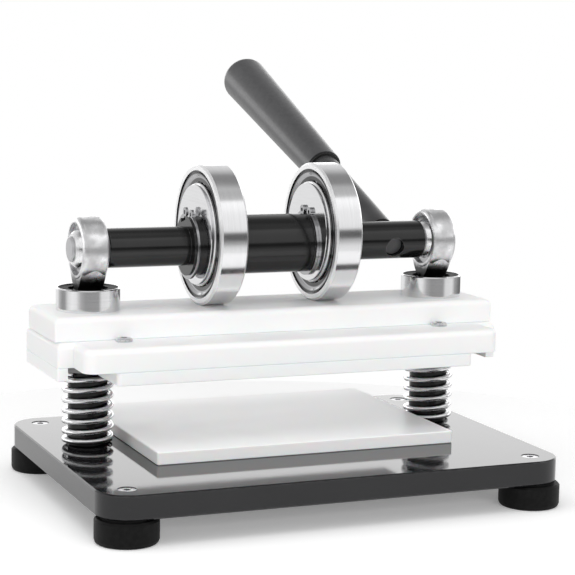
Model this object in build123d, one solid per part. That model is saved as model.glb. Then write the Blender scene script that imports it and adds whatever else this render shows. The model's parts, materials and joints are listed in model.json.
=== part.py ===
from build123d import *
import math
import os

# Hand-operated die press for leather, with two rolling eccentric bearings.
#
# A lever turns a shaft that is carried by two rod ends on top of two columns. Two eccentric discs on
# the shaft carry ball bearings, whose outer rings roll on a sprung stack of plates and push it down
# the columns onto a cutting board. Millimetres, +Z up, +X along the shaft, the lever leans towards +Y.
# The origin is on the bench, under the middle of the base plate.

# ---- driving dimensions -------------------------------------------------------------------------
BASE_SIZE = (300.0, 220.0, 15.0)
BASE_CORNER_R = 20.0
FOOT_D = 38.0
FOOT_H = 16.0
FOOT_X = 132.0
FOOT_Y = 94.0

COLUMN_D = 25.0
COLUMN_X = 120.0
COLUMN_Y = 25.0

SHAFT_HEIGHT = 124.0        # shaft axis above the base plate
ECCENTRICITY = 7.0
BEARING_X = 39.0            # middle of each large bearing
BEARING_BORE = 55.0
BEARING_OD = 90.0
BEARING_W = 18.0
SHAFT_MID_D = 38.0
SHAFT_MID_HALF = 56.0
SHAFT_THIN_D = 25.0
JOURNAL_D = 16.0
SHAFT_END = 132.4           # from the middle to either end of the shaft

EYE_D = 40.0
EYE_W = 17.0
EYE_BALL_D = 28.5
EYE_BALL_W = 21.0

SLEEVE_D = 40.0
SLEEVE_L = 44.0
SLEEVE_TOP = 100.0          # top of the linear bearings above the base plate

TOP_PLATE_SIZE = (300.0, 62.0, 15.0)
CROSS_DEPTH = 124.0         # depth of the two lower plates between their end tabs
TAB_DEPTH = 74.0
MIDDLE_PLATE_CROSS = (280.0, 8.0)   # width between the tabs, radius of the corners
PAD_CROSS = (240.0, 3.0)
MIDDLE_PLATE_T = 15.0
PAD_T = 8.0
PLATE_TOP_R = 4.0           # rounding of the upper rim of the two thick plates
PLATE_RIM_R = 0.6

SPRING_WIRE_D = 3.4
SPRING_MEAN_D = 29.6
SPRING_TURNS = 7.5

BOARD_SIZE = (200.0, 150.0, 8.0)
BOARD_CENTRE = (2.5, 29.0)

LEVER_X = 87.0
LEVER_ANGLE = 20.3          # above the horizontal, leaning back
LEVER_LENGTH = 288.0
GRIP_START = 113.0
GRIP_D = (26.0, 35.0)
ROD_D = (19.0, 21.0)
LEVER_STUD_D = 12.0

RUNNING = 0.05              # radial clearance of a running fit
SNUG = 0.02                 # clearance of a part that is fixed in its seat

# ---- derived places -----------------------------------------------------------------------------
BASE_TOP = FOOT_H + BASE_SIZE[2]
AXIS_Z = BASE_TOP + SHAFT_HEIGHT
DISC_Z = AXIS_Z + ECCENTRICITY
STACK_TOP = DISC_Z - BEARING_OD / 2 - RUNNING
TOP_PLATE_Z = STACK_TOP - TOP_PLATE_SIZE[2]
MIDDLE_PLATE_Z = TOP_PLATE_Z - MIDDLE_PLATE_T
PAD_Z = MIDDLE_PLATE_Z - PAD_T
SLEEVE_Z = (BASE_TOP + SLEEVE_TOP - SLEEVE_L, BASE_TOP + SLEEVE_TOP)
COLUMN_TOP = SLEEVE_Z[1] - 2.0
SPRING_SEAT_T = 7.5
SPRING_TOP = SLEEVE_Z[0] - SPRING_SEAT_T
SIDES = {"left": -1, "right": 1}
CORNERS = {
    "front_left": (-FOOT_X, -FOOT_Y),
    "front_right": (FOOT_X, -FOOT_Y),
    "back_left": (-FOOT_X, FOOT_Y),
    "back_right": (FOOT_X, FOOT_Y),
}


# ---- small helpers ------------------------------------------------------------------------------
def rod_x(d, x0, x1, z=AXIS_Z, y=COLUMN_Y):
    """A cylinder along X from x0 to x1."""
    return Pos((x0 + x1) / 2, y, z) * Rot(0, 90, 0) * Cylinder(d / 2, abs(x1 - x0))


def rod_z(d, z0, z1, x=0.0, y=0.0):
    """A cylinder along Z from z0 to z1."""
    return Pos(x, y, (z0 + z1) / 2) * Cylinder(d / 2, abs(z1 - z0))


def cone_z(d0, d1, z0, z1, x=0.0, y=0.0):
    """A cone along Z, d0 across at z0 and d1 across at z1."""
    return Pos(x, y, (z0 + z1) / 2) * Cone(d0 / 2, d1 / 2, z1 - z0)


def turned_x(profile, x, z=AXIS_Z, y=COLUMN_Y):
    """Revolves a closed outline of (axial, radius) points about an axis along X."""
    face = make_face(Polyline([(a, 0, r) for a, r in profile], close=True))
    return Pos(x, y, z) * revolve(face, Axis.X, 360)


def turned_z(profile, x=0.0, y=0.0):
    """Revolves a closed outline of (radius, z) points about a vertical axis."""
    face = make_face(Polyline([(r, 0, z) for r, z in profile], close=True))
    return Pos(x, y, 0) * revolve(face, Axis.Z, 360)


def slab(size, z, centre=(0.0, 0.0)):
    """A box that stands on z."""
    return Pos(centre[0], centre[1], z + size[2] / 2) * Box(*size)


def hexagon(across_flats, z0, z1, x=0.0, y=0.0):
    """A hexagonal bar along Z."""
    outline = RegularPolygon(across_flats / math.sqrt(3), 6)
    return Pos(x, y, z0) * extrude(outline, z1 - z0)


def at_columns(make):
    """A group with one solid over each column."""
    return Compound([make(side * COLUMN_X, COLUMN_Y) for side in SIDES.values()])


# ---- base ---------------------------------------------------------------------------------------
FOOT_SCREW_D = 6.0
FOOT_SCREW_HEAD_D = 11.0
FOOT_NUT_Z = 3.0
FOOT_NUT_T = 5.0
COLUMN_BOLT_D = 8.0
COLUMN_BOLT_HEAD = (13.0, 6.0)
COLUMN_BOLT_REACH = 20.0


def base_plate():
    plate = slab(BASE_SIZE, FOOT_H)
    plate = fillet(plate.edges().filter_by(Axis.Z), BASE_CORNER_R)
    rims = plate.edges().group_by(Axis.Z)
    plate = chamfer(rims[0] + rims[-1], 0.8)
    for x, y in CORNERS.values():
        plate -= rod_z(FOOT_SCREW_D + 0.4, FOOT_H - 1, BASE_TOP + 1, x, y)
        sink = FOOT_SCREW_HEAD_D + 0.3
        plate -= cone_z(FOOT_SCREW_D + 0.4, sink, BASE_TOP - 3.2, BASE_TOP - 0.4, x, y)
        plate -= rod_z(sink, BASE_TOP - 0.4, BASE_TOP + 1, x, y)
    for side in SIDES.values():
        x = side * COLUMN_X
        head_d, head_h = COLUMN_BOLT_HEAD
        plate -= rod_z(COLUMN_BOLT_D + 0.4, FOOT_H - 1, BASE_TOP + 1, x, COLUMN_Y)
        plate -= rod_z(head_d + 1.5, FOOT_H - 1, FOOT_H + head_h + 1, x, COLUMN_Y)
    return plate


def rubber_foot(x, y):
    """A turned bumper with a raised seat, a rounded tread and a pocket for its nut."""
    r = FOOT_D / 2
    foot = turned_z(
        [
            (FOOT_SCREW_D / 2 + 0.2, 0),
            (r - 0.8, 0),
            (r, 2.5),
            (r, FOOT_H - 2.4),
            (r - 1.2, FOOT_H - 1.2),
            (r - 3.5, FOOT_H - 1.2),
            (r - 3.5, FOOT_H),
            (FOOT_SCREW_D / 2 + 0.2, FOOT_H),
        ],
        x,
        y,
    )
    tread = foot.edges().group_by(Axis.Z)[0].sort_by(SortBy.RADIUS)[-1]
    foot = fillet(tread, 2.0)
    return foot - rod_z(13.0, -1, FOOT_NUT_Z + FOOT_NUT_T, x, y)


def foot_screw(x, y):
    """Countersunk screw with a hexagon socket, down through the plate and the foot."""
    top = BASE_TOP - 0.4
    screw = rod_z(FOOT_SCREW_D, 1.0, BASE_TOP - 3.2, x, y)
    screw += cone_z(FOOT_SCREW_D, FOOT_SCREW_HEAD_D, BASE_TOP - 3.2, top, x, y)
    return screw - hexagon(4.0, top - 2.2, top + 1, x, y)


def foot_nut(x, y):
    nut = hexagon(10.0, FOOT_NUT_Z, FOOT_NUT_Z + FOOT_NUT_T - 0.05, x, y)
    return nut - rod_z(FOOT_SCREW_D + SNUG, 0, FOOT_H, x, y)


def column(x):
    """Hardened guide rod, tapped at both ends."""
    bar = rod_z(COLUMN_D, BASE_TOP, COLUMN_TOP, x, COLUMN_Y)
    bar = chamfer(bar.edges().filter_by(GeomType.CIRCLE), 0.8)
    bar -= rod_z(COLUMN_BOLT_D + 0.1, BASE_TOP - 1, BASE_TOP + COLUMN_BOLT_REACH + 4, x, COLUMN_Y)
    return bar - rod_z(SHANK_D + 0.1, COLUMN_TOP - SHANK_L - 4, COLUMN_TOP + 1, x, COLUMN_Y)


def column_bolt(x, y):
    """Socket cap screw that holds a column from under the base plate."""
    head_d, head_h = COLUMN_BOLT_HEAD
    head_z = FOOT_H + 1.0
    bolt = rod_z(head_d, head_z, head_z + head_h, x, y)
    bolt += rod_z(COLUMN_BOLT_D, head_z + head_h, BASE_TOP + COLUMN_BOLT_REACH, x, y)
    return bolt - hexagon(6.0, head_z - 1, head_z + 3.5, x, y)


def return_spring(x):
    """Compression spring between the base plate and the seat under the linear bearing."""
    low = BASE_TOP + SPRING_WIRE_D / 2 + 0.05
    high = SPRING_TOP - SPRING_WIRE_D / 2 - 0.05
    radius = SPRING_MEAN_D / 2
    path = Helix((high - low) / SPRING_TURNS, high - low, radius)
    start = Plane(path @ 0, z_dir=path % 0)
    wire = sweep(start * Circle(SPRING_WIRE_D / 2), path, is_frenet=True)
    return Pos(x, COLUMN_Y, low) * wire


# ---- rod ends -----------------------------------------------------------------------------------
SHANK_D = 16.0
SHANK_L = 22.0
NECK_D = (18.0, 35.0)
EYE_RIM_R = 3.0
RACE_D = 33.0
RACE_W = 13.0


def rod_end(x):
    """Forged eye with a conical neck and a threaded shank that screws into the column."""
    neck_low = COLUMN_TOP + 0.5
    eye = rod_x(EYE_D, x - EYE_W / 2, x + EYE_W / 2)
    eye = fillet(eye.edges().filter_by(GeomType.CIRCLE), EYE_RIM_R)
    neck = cone_z(*NECK_D, neck_low, AXIS_Z - 9, x, COLUMN_Y)
    width = Pos(x, COLUMN_Y, AXIS_Z) * Box(EYE_W - 1, 2 * EYE_D, 4 * EYE_D)
    body = eye + (neck & width)
    body -= rod_x(RACE_D + SNUG, x - EYE_W, x + EYE_W)
    return body + rod_z(SHANK_D, COLUMN_TOP - SHANK_L, neck_low + 1, x, COLUMN_Y)


def rod_end_race(x):
    """Ring with a spherical seat, pressed into the eye."""
    half, outer = RACE_W / 2, RACE_D / 2
    seat_r = EYE_BALL_D / 2 + RUNNING
    lip = math.sqrt(seat_r**2 - half**2)
    back = Polyline([(half, 0, lip), (half, 0, outer), (-half, 0, outer), (-half, 0, lip)])
    seat = ThreePointArc((-half, 0, lip), (0, 0, seat_r), (half, 0, lip))
    return Pos(x, COLUMN_Y, AXIS_Z) * revolve(make_face(back + seat), Axis.X, 360)


def rod_end_ball(x):
    """Swivelling ball that carries the journal of the shaft."""
    ball = Pos(x, COLUMN_Y, AXIS_Z) * Sphere(EYE_BALL_D / 2)
    ball &= Pos(x, COLUMN_Y, AXIS_Z) * Box(EYE_BALL_W, EYE_BALL_D * 2, EYE_BALL_D * 2)
    return ball - rod_x(JOURNAL_D + SNUG, x - EYE_BALL_W, x + EYE_BALL_W)


# ---- shaft --------------------------------------------------------------------------------------
RING_T = 1.6
FLANGE_D = 64.0
FLANGE_T = 2.0
RING_LOWS = (
    -SHAFT_MID_HALF + 1.0,
    -BEARING_X + BEARING_W / 2 + 0.1,
    BEARING_X - BEARING_W / 2 - FLANGE_T - 0.1 - RING_T,
    SHAFT_MID_HALF - 1.0 - RING_T,
)
RING_LUG_ANGLES = (78.0, 108.0)
KEY_ANGLE = 75.0            # round the shaft from +Y towards the top
KEY_SIZE = (14.0, 6.0, 8.0)
LEVER_AXIS = Vector(0, math.cos(math.radians(LEVER_ANGLE)), math.sin(math.radians(LEVER_ANGLE)))


def along_lever(d0, d1, start, end):
    """A round bar or cone on the lever's axis, by distance from the shaft's axis."""
    foot = Vector(LEVER_X, COLUMN_Y, AXIS_Z) + LEVER_AXIS * start
    where = Plane(foot, x_dir=(1, 0, 0), z_dir=LEVER_AXIS)
    length = end - start
    if d0 == d1:
        shape = Cylinder(d0 / 2, length)
    else:
        shape = Cone(d0 / 2, d1 / 2, length)
    return where * (Pos(0, 0, length / 2) * shape)


def eccentric_shaft():
    """Stepped shaft with journals, ring grooves, keyseats and the cross hole for the lever."""
    thin_end = COLUMN_X - EYE_BALL_W / 2
    half = [
        (SHAFT_MID_HALF, SHAFT_MID_D / 2),
        (SHAFT_MID_HALF, SHAFT_THIN_D / 2),
        (thin_end - 0.8, SHAFT_THIN_D / 2),
        (thin_end, SHAFT_THIN_D / 2 - 0.8),
        (thin_end, JOURNAL_D / 2),
        (SHAFT_END - 1, JOURNAL_D / 2),
        (SHAFT_END, JOURNAL_D / 2 - 1),
    ]
    left = [(-a, r) for a, r in reversed(half)]
    shaft = turned_x([(-SHAFT_END, 0)] + left + half + [(SHAFT_END, 0)], 0)
    for low in RING_LOWS:
        shaft -= groove(low)
    for side in SIDES.values():
        shaft -= key_bar(side * (BEARING_X - 7.01), side * (SHAFT_MID_HALF + 1), SNUG)
    return shaft - along_lever(LEVER_STUD_D + 1, LEVER_STUD_D + 1, -20, 20)


def groove(low):
    """The cutter for the groove of a retaining ring that starts at low."""
    edges = (low - 0.05, low + RING_T + 0.05)
    return rod_x(SHAFT_MID_D + 4, *edges) - rod_x(SHAFT_MID_D - 2.2, *edges)


def key_bar(x0, x1, extra=0.0):
    """A bar of the key's section from x0 to x1, half in the shaft and half in the disc."""
    place = Pos((x0 + x1) / 2, COLUMN_Y, AXIS_Z) * Rot(KEY_ANGLE, 0, 0) * Pos(0, SHAFT_MID_D / 2, 0)
    return place * Box(abs(x1 - x0), KEY_SIZE[1] + extra, KEY_SIZE[2] + extra)


def disc_key(side):
    x = side * BEARING_X
    return key_bar(x - KEY_SIZE[0] / 2, x + KEY_SIZE[0] / 2)


def eccentric_disc(side):
    """Flanged disc bored off its centre, which seats the large bearing."""
    x = side * BEARING_X
    ends = (x - BEARING_W / 2, x + BEARING_W / 2)
    disc = rod_x(BEARING_BORE, ends[0] - 1, ends[1], z=DISC_Z)
    disc += rod_x(FLANGE_D, ends[0] - FLANGE_T, ends[0], z=DISC_Z)
    left = disc.edges().filter_by(GeomType.CIRCLE).group_by(Axis.X)[0]
    disc = chamfer(left, 0.3)
    disc -= rod_x(SHAFT_MID_D + SNUG, ends[0] - 9, ends[1] + 9)
    return disc - key_bar(ends[0] - 9, ends[1] + 9, SNUG)


def retaining_ring(low):
    """External ring with two drilled lugs in a groove of the shaft, from low to low + RING_T."""
    ends = (low - 1, low + RING_T + 1)
    ring = rod_x(SHAFT_MID_D * 1.12, low, low + RING_T) - rod_x(SHAFT_MID_D - 1.2, *ends)
    reach = SHAFT_MID_D / 2 + 2.6
    gap_angle = sum(RING_LUG_ANGLES) / 2
    gap = Pos(0, SHAFT_MID_D / 2 + 2, 0) * Box(8, SHAFT_MID_D / 2, 12.0)
    ring -= Pos(low, COLUMN_Y, AXIS_Z) * Rot(gap_angle, 0, 0) * gap
    for angle in map(math.radians, RING_LUG_ANGLES):
        y = COLUMN_Y + reach * math.cos(angle)
        z = AXIS_Z + reach * math.sin(angle)
        ring += rod_x(6.4, low, low + RING_T, z=z, y=y) - rod_x(SHAFT_MID_D, *ends)
        ring -= rod_x(2.6, *ends, z=z, y=y)
    return ring


# ---- lever --------------------------------------------------------------------------------------
def lever_rod():
    """Tapered steel bar with a threaded stud that screws through the shaft."""
    shoulder = SHAFT_THIN_D / 2 + 0.3
    core_d = 14.0
    bar = along_lever(LEVER_STUD_D, LEVER_STUD_D, -8.5, shoulder + 1)
    bar += along_lever(ROD_D[0], ROD_D[1], shoulder, GRIP_START)
    return bar + along_lever(core_d, core_d, GRIP_START - 1, LEVER_LENGTH - 30)


def lever_grip():
    """Moulded grip that widens towards its rounded end."""
    grip = along_lever(GRIP_D[0], GRIP_D[1], GRIP_START + 2, LEVER_LENGTH)
    far_rim = grip.edges().filter_by(GeomType.CIRCLE).sort_by(SortBy.RADIUS)[-1]
    grip = fillet(far_rim, 7.0)
    return grip - along_lever(14.0 + 2 * SNUG, 14.0 + 2 * SNUG, 0, LEVER_LENGTH - 29)


def grip_collar():
    """Ferrule at the near end of the grip."""
    ring = along_lever(GRIP_D[0] - 1.6, GRIP_D[0] - 1.6, GRIP_START, GRIP_START + 1.98)
    return ring - along_lever(14.0 + 2 * SNUG, 14.0 + 2 * SNUG, 0, LEVER_LENGTH)


# ---- large bearings -----------------------------------------------------------------------------
PITCH_R = 36.25
BALL_R = 5.5
BALL_COUNT = 13
INNER_SHOULDER_R = 33.0
OUTER_SHOULDER_R = 39.6
SHIELD_SEAT_R = 41.0
RACE_R = BALL_R + RUNNING


def raceway(x):
    """The torus that the balls run in."""
    return Pos(x, COLUMN_Y, DISC_Z) * Rot(0, 90, 0) * Torus(PITCH_R, RACE_R)


def bearing_inner_ring(side):
    x, half = side * BEARING_X, BEARING_W / 2
    bore = BEARING_BORE / 2 + SNUG / 2
    profile = [
        (-half, bore + 0.8),
        (-half + 0.8, bore),
        (half - 0.8, bore),
        (half, bore + 0.8),
        (half, INNER_SHOULDER_R - 0.5),
        (half - 0.5, INNER_SHOULDER_R),
        (-half + 0.5, INNER_SHOULDER_R),
        (-half, INNER_SHOULDER_R - 0.5),
    ]
    return turned_x(profile, x, DISC_Z) - raceway(x)


def bearing_outer_ring(side):
    x, half, r = side * BEARING_X, BEARING_W / 2, BEARING_OD / 2
    seat = 2.6
    profile = [
        (-half, r - 1.2),
        (-half + 1.2, r),
        (half - 1.2, r),
        (half, r - 1.2),
        (half, SHIELD_SEAT_R),
        (half - seat, SHIELD_SEAT_R),
        (half - seat, OUTER_SHOULDER_R),
        (-half + seat, OUTER_SHOULDER_R),
        (-half + seat, SHIELD_SEAT_R),
        (-half, SHIELD_SEAT_R),
    ]
    return turned_x(profile, x, DISC_Z) - raceway(x)


def bearing_shields(side):
    """The two dished steel shields pressed into the outer ring."""
    half = BEARING_W / 2
    rim = SHIELD_SEAT_R - SNUG
    shields = []
    for face in (-1, 1):
        profile = [
            (half - 2.55, rim),
            (half - 2.0, rim),
            (half - 2.0, rim - 1.1),
            (half - 0.5, rim - 1.5),
            (half - 0.5, rim - 2.4),
            (half - 1.9, rim - 3.8),
            (half - 1.9, INNER_SHOULDER_R + 0.7),
            (half - 2.4, INNER_SHOULDER_R + 0.7),
            (half - 2.4, rim - 4.0),
            (half - 1.1, rim - 2.4),
            (half - 1.1, rim - 2.0),
            (half - 2.55, rim - 1.6),
        ]
        shields.append(turned_x([(face * a, r) for a, r in profile], side * BEARING_X, DISC_Z))
    return Compound(shields)


def ball_places(side):
    """Centres of the balls of a large bearing."""
    for i in range(BALL_COUNT):
        angle = 2 * math.pi * i / BALL_COUNT
        yield Pos(
            side * BEARING_X,
            COLUMN_Y + PITCH_R * math.sin(angle),
            DISC_Z + PITCH_R * math.cos(angle),
        )


def bearing_balls(side):
    return Compound([place * Sphere(BALL_R) for place in ball_places(side)])


def bearing_cage(side):
    """Ribbon cage with a pocket for each ball."""
    half = 6.3
    profile = [(-half, 34.4), (half, 34.4), (half, 38.1), (-half, 38.1)]
    cage = turned_x(profile, side * BEARING_X, DISC_Z)
    for place in ball_places(side):
        cage -= place * Sphere(BALL_R + 0.15)
    return cage


# ---- press stack --------------------------------------------------------------------------------
SEAL_T = 3.0
SEAL_R = 18.9
SEAL_SINK = 0.6
SLEEVE_BORE_R = 16.6
TRACK_BALL_R = 2.0
TRACK_COUNT = 5
TRACK_BALLS = 8
RETAINER_R = (13.1, 15.9)
PAD_HOLE_D = 47.0
STACK_SCREW_X = (85.0, 30.0)
LEDGE_SCREW_X = 108.0
LEDGE_SCREW_Y = 37.0        # from the plane of the columns to the screws on the ledges
LEDGE_HEAD_D = 10.5


def rounded_rims(plate, top_r):
    """Rounds the upper rim of a plate by top_r and just breaks the lower one."""
    rims = plate.edges().group_by(Axis.Z)
    plate = fillet(rims[-1], top_r)
    return fillet(plate.edges().group_by(Axis.Z)[0], PLATE_RIM_R)


def cross_plate(cross, z, thickness):
    """Deep middle with a narrower tab at each end, centred on the columns."""
    width, corner_r = cross
    centre = (0.0, COLUMN_Y)
    plate = slab((width, CROSS_DEPTH, thickness), z, centre)
    plate = fillet(plate.edges().filter_by(Axis.Z), corner_r)
    tabs = slab((TOP_PLATE_SIZE[0], TAB_DEPTH, thickness), z, centre)
    return plate + fillet(tabs.edges().filter_by(Axis.Z), 1.5)


def sleeve_holes(z0, z1):
    for side in SIDES.values():
        yield rod_z(SLEEVE_D + SNUG, z0 - 1, z1 + 1, side * COLUMN_X, COLUMN_Y)


def ledge_screw_places():
    for side in SIDES.values():
        for way in (-1, 1):
            yield side * LEDGE_SCREW_X, COLUMN_Y + way * LEDGE_SCREW_Y


def stack_screw_places():
    for x in STACK_SCREW_X:
        for side in SIDES.values():
            yield side * x, COLUMN_Y


def top_plate():
    plate = slab(TOP_PLATE_SIZE, TOP_PLATE_Z, (0.0, COLUMN_Y))
    plate = fillet(plate.edges().filter_by(Axis.Z), 1.5)
    plate = rounded_rims(plate, PLATE_TOP_R)
    for hole in sleeve_holes(TOP_PLATE_Z, STACK_TOP):
        plate -= hole
    for x, y in stack_screw_places():
        plate -= rod_z(6.1, TOP_PLATE_Z - 1, TOP_PLATE_Z + 11, x, y)
    return plate


def middle_plate():
    plate = cross_plate(MIDDLE_PLATE_CROSS, MIDDLE_PLATE_Z, MIDDLE_PLATE_T)
    plate = rounded_rims(plate, PLATE_TOP_R)
    for hole in sleeve_holes(MIDDLE_PLATE_Z, TOP_PLATE_Z):
        plate -= hole
    for x, y in ledge_screw_places():
        plate -= rod_z(5.2, MIDDLE_PLATE_Z - 1, TOP_PLATE_Z + 1, x, y)
    for x, y in stack_screw_places():
        plate -= rod_z(6.4, MIDDLE_PLATE_Z - 1, TOP_PLATE_Z + 1, x, y)
        plate -= rod_z(10.6, MIDDLE_PLATE_Z - 1, MIDDLE_PLATE_Z + 6.2, x, y)
    return plate


def pressing_pad():
    """Lower plate, cut away round each spring and open to the front at its outer half."""
    pad = rounded_rims(cross_plate(PAD_CROSS, PAD_Z, PAD_T), PLATE_RIM_R)
    for side in SIDES.values():
        x = side * COLUMN_X
        pad -= rod_z(PAD_HOLE_D, PAD_Z - 1, MIDDLE_PLATE_Z + 1, x, COLUMN_Y)
        mouth = (PAD_HOLE_D / 2, TAB_DEPTH / 2 + 5, PAD_T + 2)
        centre = (x + side * mouth[0] / 2, COLUMN_Y - mouth[1] / 2)
        pad -= slab(mouth, PAD_Z - 1, centre)
    for x, y in ledge_screw_places():
        pad -= rod_z(5.1, PAD_Z + 2, MIDDLE_PLATE_Z + 1, x, y)
    return pad


def ledge_screw(x, y):
    """Low-head screw on the ledge in front of or behind the top plate."""
    screw = rod_z(5.0, PAD_Z + 2.5, TOP_PLATE_Z + 0.5, x, y)
    head = rod_z(LEDGE_HEAD_D, TOP_PLATE_Z, TOP_PLATE_Z + 2.2, x, y)
    head = fillet(head.edges().group_by(Axis.Z)[-1], 1.2)
    return screw + head - hexagon(4.0, TOP_PLATE_Z + 0.6, TOP_PLATE_Z + 4, x, y)


def stack_screw(x, y):
    """Cap screw from below that joins the two thick plates."""
    screw = rod_z(10.0, MIDDLE_PLATE_Z + 0.2, MIDDLE_PLATE_Z + 6.2, x, y)
    screw += rod_z(6.0, MIDDLE_PLATE_Z + 6, TOP_PLATE_Z + 10, x, y)
    return screw - hexagon(5.0, MIDDLE_PLATE_Z, MIDDLE_PLATE_Z + 3.2, x, y)


def linear_bearing_shell(x):
    """Hardened sleeve, recessed at both ends for its seals."""
    low, high = SLEEVE_Z
    r = SLEEVE_D / 2
    recess = SEAL_T + SEAL_SINK
    profile = [
        (SEAL_R, low),
        (r - 0.6, low),
        (r, low + 0.6),
        (r, high - 0.6),
        (r - 0.6, high),
        (SEAL_R, high),
        (SEAL_R, high - recess),
        (SLEEVE_BORE_R, high - recess),
        (SLEEVE_BORE_R, low + recess),
        (SEAL_R, low + recess),
    ]
    return turned_z(profile, x, COLUMN_Y)


def linear_bearing_seals(x):
    """Lip seals at the two ends of the sleeve."""
    bore = COLUMN_D / 2 + RUNNING
    low, high = SLEEVE_Z
    seals = []
    for z in (low + SEAL_SINK, high - SEAL_SINK - SEAL_T):
        rim = SEAL_R - SNUG
        profile = [(bore, z), (rim, z), (rim, z + SEAL_T), (bore, z + SEAL_T)]
        seals.append(turned_z(profile, x, COLUMN_Y))
    return Compound(seals)


def track_places(x):
    """Centres of the balls that carry load along the column."""
    r = COLUMN_D / 2 + RUNNING + TRACK_BALL_R
    middle = sum(SLEEVE_Z) / 2
    pitch = 2 * TRACK_BALL_R + 0.2
    for track in range(TRACK_COUNT):
        angle = 2 * math.pi * track / TRACK_COUNT
        for i in range(TRACK_BALLS):
            z = middle + (i - (TRACK_BALLS - 1) / 2) * pitch
            yield Pos(x + r * math.cos(angle), COLUMN_Y + r * math.sin(angle), z)


def linear_bearing_balls(x):
    return Compound([place * Sphere(TRACK_BALL_R) for place in track_places(x)])


def linear_bearing_retainer(x):
    """Plastic cage with a slot for each track of balls."""
    low, high = SLEEVE_Z[0] + SEAL_T + 1.1, SLEEVE_Z[1] - SEAL_T - 1.1
    inner, outer = RETAINER_R
    cage = turned_z([(inner, low), (outer, low), (outer, high), (inner, high)], x, COLUMN_Y)
    middle = (low + high) / 2
    slot = (6.0, 2 * TRACK_BALL_R + 0.3, TRACK_BALLS * (2 * TRACK_BALL_R + 0.2) + 0.6)
    for track in range(TRACK_COUNT):
        turn = Pos(x, COLUMN_Y, middle) * Rot(0, 0, 360 * track / TRACK_COUNT)
        cage -= turn * (Pos((inner + outer) / 2, 0, 0) * Box(*slot))
    return cage


def spring_seat(x, y):
    """Moulded bush between the linear bearing and the spring."""
    low, high = SPRING_TOP, SLEEVE_Z[0]
    return rod_z(38.0, low, high, x, y) - rod_z(COLUMN_D + 0.8, low - 1, high + 1, x, y)


# ---- cutting board ------------------------------------------------------------------------------
def cutting_board():
    board = slab(BOARD_SIZE, BASE_TOP, BOARD_CENTRE)
    board = fillet(board.edges().filter_by(Axis.Z), 1.5)
    rims = board.edges().group_by(Axis.Z)
    return fillet(rims[0] + rims[-1], 0.8)


# ---- nodes --------------------------------------------------------------------------------------
def nodes():
    made = {
        "base_plate": base_plate(),
        "foot_screws": Compound([foot_screw(x, y) for x, y in CORNERS.values()]),
        "foot_nuts": Compound([foot_nut(x, y) for x, y in CORNERS.values()]),
        "column_bolts": at_columns(column_bolt),
        "top_plate": top_plate(),
        "middle_plate": middle_plate(),
        "pressing_pad": pressing_pad(),
        "ledge_screws": Compound([ledge_screw(x, y) for x, y in ledge_screw_places()]),
        "stack_screws": Compound([stack_screw(x, y) for x, y in stack_screw_places()]),
        "spring_seats": at_columns(spring_seat),
        "eccentric_shaft": eccentric_shaft(),
        "disc_retaining_rings": Compound([retaining_ring(low) for low in RING_LOWS]),
        "disc_keys": Compound([disc_key(side) for side in SIDES.values()]),
        "lever_rod": lever_rod(),
        "lever_grip": lever_grip(),
        "grip_collar": grip_collar(),
        "cutting_board": cutting_board(),
    }
    for corner, (x, y) in CORNERS.items():
        made[f"foot_{corner}"] = rubber_foot(x, y)
    by_x = {
        "column": column,
        "return_spring": return_spring,
        "rod_end": rod_end,
        "rod_end_race": rod_end_race,
        "rod_end_ball": rod_end_ball,
        "linear_bearing_shell": linear_bearing_shell,
        "linear_bearing_seals": linear_bearing_seals,
        "linear_bearing_balls": linear_bearing_balls,
        "linear_bearing_retainer": linear_bearing_retainer,
    }
    by_side = {
        "eccentric_disc": eccentric_disc,
        "bearing_inner_ring": bearing_inner_ring,
        "bearing_outer_ring": bearing_outer_ring,
        "bearing_shields": bearing_shields,
        "bearing_balls": bearing_balls,
        "bearing_cage": bearing_cage,
    }
    for name, side in SIDES.items():
        for node, make in by_x.items():
            made[f"{node}_{name}"] = make(side * COLUMN_X)
        for node, make in by_side.items():
            made[f"{node}_{name}"] = make(side)
    return made


def main():
    os.makedirs("parts", exist_ok=True)
    for name, shape in nodes().items():
        export_step(shape, f"parts/{name}.step")
        print(name)


main()
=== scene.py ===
import json
import math

import bmesh
import bpy
from mathutils import Matrix, Vector


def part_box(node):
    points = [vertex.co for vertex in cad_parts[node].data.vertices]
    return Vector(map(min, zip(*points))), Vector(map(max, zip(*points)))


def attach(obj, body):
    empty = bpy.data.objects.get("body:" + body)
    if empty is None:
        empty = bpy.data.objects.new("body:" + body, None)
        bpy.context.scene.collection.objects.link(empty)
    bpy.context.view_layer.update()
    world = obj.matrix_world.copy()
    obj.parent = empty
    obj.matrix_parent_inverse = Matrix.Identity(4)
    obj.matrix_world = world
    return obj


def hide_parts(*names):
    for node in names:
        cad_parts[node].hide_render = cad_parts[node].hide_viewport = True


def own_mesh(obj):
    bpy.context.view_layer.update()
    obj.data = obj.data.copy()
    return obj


# Looks of the hand die press: camera, studio, materials for every CAD node, and the pieces that are
# modelled here in more detail than in CAD. Metres, in the frame of the CAD model.

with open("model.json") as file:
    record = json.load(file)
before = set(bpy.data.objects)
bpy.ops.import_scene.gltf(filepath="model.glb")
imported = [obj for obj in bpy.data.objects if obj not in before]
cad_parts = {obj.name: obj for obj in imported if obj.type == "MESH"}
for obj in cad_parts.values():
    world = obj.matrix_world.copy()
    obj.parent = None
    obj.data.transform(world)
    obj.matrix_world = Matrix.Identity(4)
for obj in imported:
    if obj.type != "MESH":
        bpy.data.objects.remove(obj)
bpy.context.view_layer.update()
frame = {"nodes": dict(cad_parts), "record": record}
nodes = frame["nodes"]
SIDES = ("left", "right")

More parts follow.
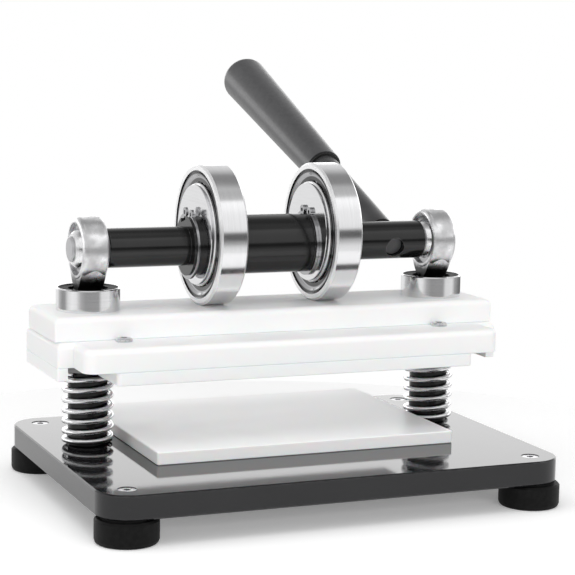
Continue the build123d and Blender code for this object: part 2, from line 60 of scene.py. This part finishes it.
# ---- camera ---------------------------------------------------------------------------------------
# The camera's position and the directions to its right and up; sensor and lens in millimetres.
CAMERA_PLACE = (-0.4489, -1.0765, 0.2927)
CAMERA_RIGHT = Vector((0.92237, -0.38586, 0.01849))
CAMERA_UP = Vector((0.03655, 0.13484, 0.99020))
SENSOR = 36.0
LENS = 115.62


def make_camera():
    data = bpy.data.cameras.new("camera")
    data.sensor_width = SENSOR
    data.lens = LENS
    data.clip_start = 0.05
    data.clip_end = 50.0
    camera = bpy.data.objects.new("camera", data)
    bpy.context.scene.collection.objects.link(camera)
    turn = Matrix((CAMERA_RIGHT, CAMERA_UP, CAMERA_RIGHT.cross(CAMERA_UP))).transposed()
    camera.matrix_world = Matrix.Translation(CAMERA_PLACE) @ turn.to_4x4()
    bpy.context.scene.camera = camera


# ---- node graphs ----------------------------------------------------------------------------------
class Graph:
    """The nodes of a material or a world, with short calls that add and join them."""

    def __init__(self, owner):
        owner.use_nodes = True
        self.owner = owner
        self.tree = owner.node_tree

    def add(self, kind, **settings):
        node = self.tree.nodes.new(f"ShaderNode{kind}")
        for name, value in settings.items():
            setattr(node, name, value)
        return node

    def put(self, value, socket):
        """Joins an output to an input, or sets the input to a plain value."""
        if isinstance(value, bpy.types.NodeSocket):
            self.tree.links.new(value, socket)
        elif socket.type == "RGBA" and not hasattr(value, "__len__"):
            socket.default_value = (value, value, value, 1.0)
        elif socket.type == "RGBA":
            socket.default_value = (*value, 1.0)
        else:
            socket.default_value = value

    def math(self, operation, a, b=0.0):
        node = self.add("Math", operation=operation)
        self.put(a, node.inputs[0])
        self.put(b, node.inputs[1])
        return node.outputs[0]

    def spread(self, value, low, high, start=0.0, end=1.0):
        """A value from start..end stretched to low..high, and held there."""
        node = self.add("MapRange")
        self.put(value, node.inputs["Value"])
        for name, level in (("From Min", start), ("From Max", end), ("To Min", low), ("To Max", high)):
            self.put(level, node.inputs[name])
        return node.outputs[0]

    def mix(self, factor, a, b):
        node = self.add("Mix", data_type="RGBA")
        self.put(factor, node.inputs["Factor"])
        self.put(a, node.inputs["A"])
        self.put(b, node.inputs["B"])
        return node.outputs["Result"]

    def levels(self, value, stops):
        """Grey levels along a value, straight between the (value, level) stops."""
        first, last = stops[0][0], stops[-1][0]
        peak = max(level for _, level in stops)
        node = self.add("ValToRGB")
        elements = node.color_ramp.elements
        while len(elements) < len(stops):
            elements.new(0.5)
        for element, (at, level) in zip(elements, stops):
            element.position = (at - first) / (last - first)
            element.color = (level / peak, level / peak, level / peak, 1.0)
        self.put(self.spread(value, 0.0, 1.0, first, last), node.inputs["Fac"])
        return self.math("MULTIPLY", node.outputs["Color"], peak)


# ---- studio ---------------------------------------------------------------------------------------
# How bright metal sees the studio: (degrees, level) stops, straight in between and held beyond the ends.
# In front of the press, by elevation: floor, dark card along the horizon, softbox, gap, ceiling.
FRONT = (
    (-18, 0.9), (-10, 0.6), (-6, 0.26), (-3, 0.1), (6, 0.1),
    (9, 0.95), (34, 1.0), (50, 1.2), (54, 1.2),
    (56, 0.55), (66, 0.5), (76, 0.8),
)
# Behind it, by elevation: floor, glowing backdrop, its fading upper part, dark gap, ceiling.
BEHIND = (
    (-2, 0.9), (3, 2.1), (15, 2.1),
    (21, 0.85), (40, 0.72), (50, 0.5), (57, 0.28), (68, 0.25), (76, 0.8),
)
# Just below the horizon, by azimuth from the front towards the lever: pale and dark screens in turn.
SCREENS = (
    (-180, 0.95), (-152, 0.9), (-142, 0.55), (-120, 0.25), (-107, 0.30),
    (-92, 0.85), (-77, 1.15), (-60, 1.1), (-42, 0.50), (-25, 0.33), (22, 0.36),
    (33, 0.95), (64, 1.0), (80, 0.42), (100, 0.2), (138, 0.1), (152, 0.5), (180, 0.9),
)
SCREEN_FOOT = (-12.0, -10.5)    # elevations over which the screens begin, going up
SCREEN_HEAD = (-7.0, -5.5)      # and over which they end
TURN_BACK = (-0.10, 0.05)       # share of +Y in a direction, over which front passes into behind
AMBIENT = 0.55                  # how bright everything else sees the studio

# Lamps that metal doesn't see: name, place, aim, size and watts.
LAMPS = (
    ("top_light", (-0.3, -0.2, 1.5), (0, 0, 0.1), (1.6, 1.2), 7.5),
    ("left_light", (-1.3, 0.1, 0.5), (0, 0, 0.1), (0.9, 0.9), 2.5),
    ("front_light", (-0.1, -1.5, 0.45), (0, 0, 0.05), (1.4, 0.5), 10.0),
)
FLOOR_R = 0.36
FLOOR_SIDES = 96


def add_lamp(name, place, aim, size, watts):
    """A rectangular softbox."""
    data = bpy.data.lights.new(name, "AREA")
    data.shape = "RECTANGLE"
    data.size, data.size_y = size
    data.energy = watts
    light = bpy.data.objects.new(name, data)
    bpy.context.scene.collection.objects.link(light)
    light.location = place
    light.rotation_euler = (Vector(aim) - Vector(place)).to_track_quat("-Z", "Y").to_euler()
    light.visible_camera = False
    light.visible_glossy = False


def make_world():
    """White to the camera, soft grey light on matt things, and bands for the metal to reflect."""
    g = Graph(bpy.data.worlds.new("studio"))
    bpy.context.scene.world = g.owner
    g.tree.nodes.clear()
    axes = g.add("SeparateXYZ")
    g.put(g.add("TexCoord").outputs["Generated"], axes.inputs[0])
    x, y, z = (axes.outputs[name] for name in "XYZ")
    elevation = g.math("DEGREES", g.math("ARCSINE", z))
    azimuth = g.math("DEGREES", g.math("ARCTAN2", x, g.math("MULTIPLY", y, -1.0)))
    in_front = g.spread(y, 1.0, 0.0, *TURN_BACK)
    bands = g.mix(in_front, g.levels(elevation, BEHIND), g.levels(elevation, FRONT))
    above_foot = g.spread(elevation, 0.0, 1.0, *SCREEN_FOOT)
    below_head = g.spread(elevation, 1.0, 0.0, *SCREEN_HEAD)
    on_screens = g.math("MULTIPLY", above_foot, below_head)
    bands = g.mix(on_screens, bands, g.levels(azimuth, SCREENS))
    ray = g.add("LightPath")
    seen = g.mix(ray.outputs["Is Glossy Ray"], AMBIENT, bands)
    studio = g.add("Background")
    g.put(g.mix(ray.outputs["Is Camera Ray"], seen, 1.0), studio.inputs["Color"])
    g.put(studio.outputs[0], g.add("OutputWorld").inputs["Surface"])


def make_studio():
    scene = bpy.context.scene
    scene.view_settings.view_transform = "Standard"
    scene.view_settings.look = "None"
    make_world()
    for lamp in LAMPS:
        add_lamp(*lamp)


def make_floor():
    """A round sheet, bright enough for its rim to vanish into the backdrop."""
    mesh = bpy.data.meshes.new("floor")
    sheet = bmesh.new()
    bmesh.ops.create_circle(sheet, cap_ends=True, radius=FLOOR_R, segments=FLOOR_SIDES)
    sheet.to_mesh(mesh)
    sheet.free()
    floor = bpy.data.objects.new("floor", mesh)
    bpy.context.scene.collection.objects.link(floor)
    floor.data.materials.append(floor_finish())


# ---- material graphs ------------------------------------------------------------------------------
def shade(tone, factor):
    """A tone made darker or lighter."""
    return tuple(c * factor for c in tone)


class Finish(Graph):
    """A material, with the patterns that the finishes share."""

    def __init__(self, name):
        super().__init__(bpy.data.materials.new(name))
        self.shader = self.tree.nodes["Principled BSDF"]
        self.place = self.add("TexCoord").outputs["Object"]

    def set(self, **values):
        """Sets the shader's inputs, by name with underscores for spaces."""
        for name, value in values.items():
            self.put(value, self.shader.inputs[name.replace("_", " ")])

    def scaled(self, scale, shift=(0.0, 0.0, 0.0)):
        """The place with each axis scaled, which stretches a pattern."""
        node = self.add("Mapping")
        self.put(self.place, node.inputs["Vector"])
        node.inputs["Scale"].default_value = scale
        node.inputs["Location"].default_value = shift
        return node.outputs[0]

    def noise(self, scale, detail=3.0, where=None):
        """Soft noise round 0.5, whose features are about 1 / scale metres across."""
        node = self.add("TexNoise")
        self.put(self.place if where is None else where, node.inputs["Vector"])
        node.inputs["Scale"].default_value = scale
        node.inputs["Detail"].default_value = detail
        return node.outputs["Fac"]

    def cloud(self, pattern):
        """A noise pattern with its contrast stretched to the full 0 to 1."""
        return self.spread(pattern, 0.0, 1.0, 0.3, 0.7)

    def along(self, axis):
        """The place's X, Y or Z."""
        axes = self.add("SeparateXYZ")
        self.put(self.place, axes.inputs[0])
        return axes.outputs[axis]

    def bump(self, height, distance, strength=1.0, below=None):
        """Adds relief from a height pattern, distance metres deep at full strength."""
        node = self.add("Bump")
        node.inputs["Strength"].default_value = strength
        node.inputs["Distance"].default_value = distance
        self.put(height, node.inputs["Height"])
        if below is not None:
            self.put(below, node.inputs["Normal"])
        self.put(node.outputs[0], self.shader.inputs["Normal"])
        return node.outputs[0]

    def worn_edges(self, radius):
        """1 along convex and concave edges, broken up by noise, 0 on open faces."""
        rounded = self.add("Bevel", samples=4)
        rounded.inputs["Radius"].default_value = radius
        plain = self.add("NewGeometry").outputs["Normal"]
        dot = self.add("VectorMath", operation="DOT_PRODUCT")
        self.put(rounded.outputs[0], dot.inputs[0])
        self.put(plain, dot.inputs[1])
        edge = self.spread(dot.outputs["Value"], 1.0, 0.0, 0.90, 0.995)
        return self.math("MULTIPLY", edge, self.spread(self.noise(260.0), 0.0, 1.0, 0.35, 0.65))

    def end_face(self):
        """1 on flat faces across X, such as the faces of a bearing, and 0 round it."""
        facing = self.add("SeparateXYZ")
        self.put(self.add("TexCoord").outputs["Normal"], facing.inputs[0])
        return self.spread(self.math("ABSOLUTE", facing.outputs["X"]), 0.0, 1.0, 0.5, 0.8)

    def from_axis(self, axis, centre):
        """Distance from a line along an axis (0, 1 or 2) through centre."""
        flat = [1.0, 1.0, 1.0]
        flat[axis] = 0.0
        shift = [-c * f for c, f in zip(centre, flat)]
        length = self.add("VectorMath", operation="LENGTH")
        self.put(self.scaled(tuple(flat), tuple(shift)), length.inputs[0])
        return length.outputs["Value"]

    def rings(self, axis, centre, per_metre):
        """Fine concentric marks round an axis, as from turning."""
        radius = self.from_axis(axis, centre)
        node = self.add("TexNoise", noise_dimensions="1D")
        self.put(self.math("MULTIPLY", radius, per_metre), node.inputs["W"])
        node.inputs["Scale"].default_value = 1.0
        node.inputs["Detail"].default_value = 2.0
        return node.outputs["Fac"]


def floor_finish():
    g = Finish("floor_pale")
    tone = g.spread(g.noise(0.7, 2.0), 0.94, 0.97)
    g.set(Base_Color=tone, Roughness=0.9, Specular_IOR_Level=0.1)
    g.set(Emission_Color=1.0, Emission_Strength=0.20)
    return g.owner


def gloss_black(name):
    """Thick black enamel: a mirror with faint waves, dust, and edges rubbed a little lighter."""
    g = Finish(name)
    dust = g.spread(g.noise(1400.0, 2.0), 0.0, 1.0, 0.68, 0.76)
    tint = g.mix(g.noise(14.0), (0.006, 0.006, 0.007), (0.012, 0.012, 0.013))
    tint = g.mix(g.math("MULTIPLY", dust, 0.10), tint, (0.20, 0.20, 0.20))
    tint = g.mix(g.math("MULTIPLY", g.worn_edges(0.0008), 0.35), tint, (0.16, 0.16, 0.165))
    g.set(Base_Color=tint, Roughness=g.spread(g.noise(35.0), 0.04, 0.08))
    g.set(IOR=1.5, Specular_IOR_Level=0.4)
    g.bump(g.noise(160.0, 1.0), 0.00001, 0.2)
    return g.owner


def rubber(name, tone, sheen, rough=0.48):
    """Moulded rubber with a fine grain and a little dust in it."""
    g = Finish(name)
    dusty = tuple(c * 1.3 + 0.003 for c in tone)
    g.set(Base_Color=g.mix(g.cloud(g.noise(320.0, 4.0)), tone, dusty))
    g.set(Roughness=g.spread(g.noise(180.0), rough, rough + 0.12), Specular_IOR_Level=sheen)
    coarse = g.bump(g.noise(500.0, 3.0), 0.00008, 0.2)
    g.bump(g.noise(2600.0, 3.0), 0.00003, 0.35, coarse)
    return g.owner


def polyethylene(name, tone, gloss):
    """White machined polyethylene: soft light inside, faint saw lines and scuffs."""
    g = Finish(name)
    speck = g.spread(g.noise(900.0, 2.0), 0.0, 0.5, 0.74, 0.82)
    tint = g.mix(speck, g.mix(g.noise(9.0), shade(tone, 0.975), tone), shade(tone, 0.85))
    g.set(Base_Color=tint, Roughness=g.spread(g.noise(70.0, 4.0), gloss, gloss + 0.14))
    g.set(Specular_IOR_Level=0.4, Subsurface_Weight=0.25, Subsurface_Scale=0.004)
    saw = g.bump(g.noise(1.0, 2.0, g.scaled((25.0, 25.0, 2600.0))), 0.00004, 0.2)
    g.bump(g.noise(1.0, 3.0, g.scaled((90.0, 700.0, 90.0))), 0.00003, 0.2, saw)
    return g.owner


def ground_steel(name, tone, rough, scale):
    """Ground steel: grinding lines run where scale is smallest."""
    g = Finish(name)
    lines = g.noise(1.0, 3.0, g.scaled(scale))
    tint = g.mix(g.cloud(lines), shade(tone, 0.92), tone)
    g.set(Base_Color=g.mix(g.spread(g.noise(45.0), 0.0, 0.2), tint, shade(tone, 0.8)))
    g.set(Metallic=1.0, Roughness=g.spread(g.noise(80.0), rough, rough + 0.06))
    g.bump(lines, 0.000005, 0.3)
    return g.owner


def bearing_steel(name, tone, centre):
    """Bright bearing steel: polished round the rim, lapped to a pale matt on the faces."""
    g = Finish(name)
    face = g.end_face()
    lines = g.noise(1.0, 3.0, g.scaled(ROUND_X))
    lapping = g.noise(1500.0, 2.0)
    rim = g.mix(g.cloud(lines), shade(tone, 0.93), tone)
    side = g.mix(g.cloud(lapping), shade(tone, 0.90), (0.95, 0.95, 0.95))
    g.set(Base_Color=g.mix(face, rim, side), Metallic=g.spread(face, 1.0, 0.75))
    g.set(Roughness=g.mix(face, g.spread(g.noise(90.0), 0.13, 0.19), g.spread(lapping, 0.34, 0.46)))
    g.bump(g.mix(face, lines, g.rings(0, centre, 1500.0)), 0.000005, 0.3)
    return g.owner


def turned_steel(name, tone, rough, centre, shade_bands=()):
    """Stamped steel with concentric marks round an axis along X, and painted shade, near black, in any
    given bands of radius.
    """
    g = Finish(name)
    marks = g.rings(0, centre, 2600.0)
    tint = g.mix(g.cloud(marks), shade(tone, 0.88), tone)
    radius = g.from_axis(0, centre)
    for inner, outer in shade_bands:
        outside = g.spread(radius, 0.0, 1.0, inner - SHADE_BAND_EDGE, inner + SHADE_BAND_EDGE)
        inside = g.spread(radius, 1.0, 0.0, outer - SHADE_BAND_EDGE, outer + SHADE_BAND_EDGE)
        # painted shade: near-black bands of radius that stand in for the shadow in the shield's recesses
        tint = g.mix(g.math("MULTIPLY", outside, inside), tint, PAINTED_SHADE)
    g.set(Base_Color=g.mix(g.spread(g.noise(60.0), 0.0, 0.3), tint, shade(tone, 0.75)))
    g.set(Metallic=1.0, Roughness=g.spread(g.noise(140.0), rough, rough + 0.12))
    g.bump(marks, 0.00001, 0.4)
    return g.owner


def forged_steel(name, tone, neck):
    """Plated forging: mottled, softly uneven, dull in patches and dark below the height of neck."""
    g = Finish(name)
    patches = g.spread(g.noise(130.0, 4.0), 0.0, 1.0, 0.38, 0.62)
    tint = g.mix(patches, shade(tone, 0.72), tone)
    ragged = g.math("ADD", g.along("Z"), g.spread(g.noise(300.0), -0.002, 0.002))
    # below the neck the rod ends are coloured near black, along a ragged edge
    tone_shift = g.spread(ragged, 1.0, 0.0, neck - 0.002, neck + 0.003)
    g.set(Base_Color=g.mix(tone_shift, tint, (0.05, 0.05, 0.05)), Metallic=1.0)
    g.set(Roughness=g.spread(patches, 0.40, 0.26))
    swell = g.bump(g.noise(110.0, 2.0), 0.0004, 0.25)
    g.bump(g.noise(1800.0, 2.0), 0.00001, 0.4, swell)
    return g.owner


def shaft_steel(name, tone, journal_x, centre):
    """Glossy blackened shaft, left bright on the two journals, with slightly bright edges."""
    g = Finish(name)
    bare = g.math("GREATER_THAN", g.math("ABSOLUTE", g.along("X")), journal_x)
    tone_shift = g.cloud(g.noise(50.0, 4.0))
    black = g.mix(tone_shift, tone, shade(tone, 1.8))
    black = g.mix(g.math("MULTIPLY", g.worn_edges(0.0006), 0.4), black, (0.30, 0.30, 0.31))
    steel = g.mix(tone_shift, (0.42, 0.42, 0.43), (0.52, 0.52, 0.53))
    g.set(Base_Color=g.mix(bare, black, steel), Metallic=g.math("MULTIPLY", bare, 0.85))
    g.set(Roughness=g.mix(bare, g.spread(g.noise(40.0), 0.14, 0.20), 0.42), IOR=1.5)
    g.bump(g.rings(0, centre, 1800.0), 0.000008, 0.3)
    return g.owner


def lever_steel(name, tone):
    """Blackened bar, satin, drawn along its length and rubbed at the edges."""
    g = Finish(name)
    lines = g.noise(1.0, 3.0, g.scaled((900.0, 60.0, 60.0)))
    tint = g.mix(g.cloud(g.noise(50.0, 4.0)), tone, shade(tone, 1.7))
    tint = g.mix(g.math("MULTIPLY", g.worn_edges(0.0006), 0.5), tint, (0.30, 0.30, 0.31))
    g.set(Base_Color=tint, Roughness=g.spread(lines, 0.28, 0.42))
    g.bump(lines, 0.00001, 0.3)
    return g.owner


def plated_screw(name):
    """Zinc-plated steel with a faint mottled tone."""
    g = Finish(name)
    tint = g.mix(g.cloud(g.noise(420.0)), (0.56, 0.56, 0.58), (0.74, 0.74, 0.75))
    g.set(Base_Color=tint, Metallic=1.0)
    g.set(Roughness=g.spread(g.noise(900.0), 0.22, 0.36))
    g.bump(g.noise(1500.0), 0.00001, 0.4)
    return g.owner


def matte_plastic(name, tone):
    """Moulded plastic with a fine spark-eroded texture."""
    g = Finish(name)
    g.set(Base_Color=g.mix(g.noise(90.0), tone, shade(tone, 1.6)))
    g.set(Roughness=g.spread(g.noise(300.0), 0.45, 0.6))
    g.bump(g.noise(3000.0, 2.0), 0.00001, 0.5)
    return g.owner


# ---- where things are ----------------------------------------------------------------------------
def middle(node):
    low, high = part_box(node)
    return (low + high) / 2


DISC_CENTRE = middle("bearing_outer_ring_left")
SHAFT_CENTRE = middle("eccentric_shaft")
JOURNAL_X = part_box("rod_end_ball_right")[0].x - 0.0002
NECK_Z = SHAFT_CENTRE.z - 0.018     # height below which the rod ends are coloured near black
SHIELD_SHADE_RADII = ((0.0325, 0.0362), (0.0387, 0.0420))     # radii of the painted shade on the shields: the recess by the inner ring and the groove by the outer ring
# soft edge and near-black colour of the painted shade bands on the shields
SHADE_BAND_EDGE = 0.0003
PAINTED_SHADE = (0.02, 0.02, 0.02)
ROUND_X = (2600.0, 30.0, 30.0)      # grinding lines that run round X, as pattern scales
ROUND_Z = (30.0, 30.0, 2600.0)
DRAWN = (400.0, 400.0, 400.0)


def make_finishes():
    """One finish for each material slot of the record."""
    bright = (0.84, 0.84, 0.85)
    return {
        "base_paint": gloss_black("base_paint"),
        "foot_rubber": rubber("foot_rubber", (0.003, 0.003, 0.003), 0.12),
        "seal_rubber": rubber("seal_rubber", (0.003, 0.003, 0.003), 0.10),
        "grip_rubber": rubber("grip_rubber", (0.044, 0.044, 0.046), 0.60, 0.26),
        "white_plate": polyethylene("white_plate", (0.91, 0.91, 0.91), 0.42),
        "white_board": polyethylene("white_board", (0.97, 0.97, 0.97), 0.30),
        "polished_steel": ground_steel("polished_steel", bright, 0.10, ROUND_Z),
        "column_steel": ground_steel("column_steel", (0.035, 0.035, 0.035), 0.20, ROUND_Z),
        "bearing_steel": bearing_steel("bearing_steel", bright, DISC_CENTRE),
        "spring_steel": ground_steel("spring_steel", (0.78, 0.78, 0.79), 0.12, DRAWN),
        "rod_end_steel": forged_steel("rod_end_steel", (0.86, 0.86, 0.87), NECK_Z),
        "shield_steel": turned_steel("shield_steel", (0.46, 0.46, 0.47), 0.09, DISC_CENTRE, SHIELD_SHADE_RADII),
        "cage_steel": turned_steel("cage_steel", (0.50, 0.50, 0.50), 0.30, DISC_CENTRE),
        "black_steel": shaft_steel("black_steel", (0.004, 0.004, 0.004), JOURNAL_X, SHAFT_CENTRE),
        "lever_steel": lever_steel("lever_steel", (0.030, 0.030, 0.031)),
        "screw_steel": plated_screw("screw_steel"),
        "seat_plastic": matte_plastic("seat_plastic", (0.20, 0.20, 0.20)),
        "collar_plastic": matte_plastic("collar_plastic", (0.008, 0.008, 0.008)),
        "retainer_plastic": matte_plastic("retainer_plastic", (0.040, 0.040, 0.040)),
    }


def paint(obj, finish):
    obj.data.materials.clear()
    obj.data.materials.append(finish)


def paint_cad(finishes):
    """Gives each CAD node the finish of its slot."""
    for part in frame["record"]["subparts"]:
        paint(nodes[part["node"]], finishes[part["material_slot"]])


# ---- pieces ---------------------------------------------------------------------------------------
def new_piece(name, mesh, finish, body, node):
    """A piece that rides a body and is shown in place of a CAD node."""
    piece = bpy.data.objects.new(name, mesh)
    bpy.context.scene.collection.objects.link(piece)
    paint(piece, finish)
    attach(piece, body)
    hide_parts(node)
    return piece


def ring_round(shape, point, ahead, radius, sides):
    """Vertices in a circle round a point, square to the direction ahead."""
    across = ahead.cross(Vector((0, 0, 1))).normalized()
    up = across.cross(ahead)
    ring = []
    for k in range(sides):
        turn = 2 * math.pi * k / sides
        ring.append(shape.verts.new(point + radius * (across * math.cos(turn) + up * math.sin(turn))))
    return ring


def tube(name, points, radius, sides=14):
    """A closed round tube of constant radius along a list of points."""
    shape = bmesh.new()
    rings = []
    for i, point in enumerate(points):
        ahead = points[min(i + 1, len(points) - 1)] - points[max(i - 1, 0)]
        rings.append(ring_round(shape, point, ahead.normalized(), radius, sides))
    for low, high in zip(rings, rings[1:]):
        for k in range(sides):
            shape.faces.new((low[k], low[(k + 1) % sides], high[(k + 1) % sides], high[k]))
    shape.faces.new(list(reversed(rings[0])))
    shape.faces.new(rings[-1])
    bmesh.ops.recalc_face_normals(shape, faces=shape.faces)
    mesh = bpy.data.meshes.new(name)
    shape.to_mesh(mesh)
    shape.free()
    mesh.polygons.foreach_set("use_smooth", [True] * len(mesh.polygons))
    return mesh


SPRING_TURNS = 7.6
CLOSED_TURNS = 0.9
CLOSED_PITCH = 2.15     # of the closed end coils, in radii of the wire
WIRE_R = 0.0017
TURN_STEPS = 40


def spring_height(turn, low, high):
    """Height of the wire's middle: the end coils lie closed and the rest open evenly."""
    closed = CLOSED_TURNS * CLOSED_PITCH * WIRE_R
    if turn < CLOSED_TURNS:
        return low + closed * (turn / CLOSED_TURNS)
    if turn > SPRING_TURNS - CLOSED_TURNS:
        return high - closed * ((SPRING_TURNS - turn) / CLOSED_TURNS)
    share = (turn - CLOSED_TURNS) / (SPRING_TURNS - 2 * CLOSED_TURNS)
    return low + closed + share * (high - low - 2 * closed)


def spring_points(low, high):
    """The middle of the wire of a spring that fills the box from low to high."""
    centre = (low + high) / 2
    radius = (high.x - low.x) / 2 - WIRE_R
    for i in range(round(SPRING_TURNS * TURN_STEPS) + 1):
        turn = i / TURN_STEPS
        x = centre.x + radius * math.cos(2 * math.pi * turn)
        y = centre.y + radius * math.sin(2 * math.pi * turn)
        yield Vector((x, y, spring_height(turn, low.z + WIRE_R, high.z - WIRE_R)))


def make_springs(finishes):
    """Springs with closed end coils: fixed tubes that fill the boxes of the CAD springs and ride the root
    body.
    """
    for side in SIDES:
        node = f"return_spring_{side}"
        low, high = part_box(node)
        mesh = tube(f"coil_{side}", list(spring_points(low, high)), WIRE_R)
        piece = new_piece(f"coil_{side}", mesh, finishes["spring_steel"], "root", node)
        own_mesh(piece)


# ---- make it --------------------------------------------------------------------------------------
make_camera()
make_studio()
make_floor()
finishes = make_finishes()
paint_cad(finishes)
make_springs(finishes)
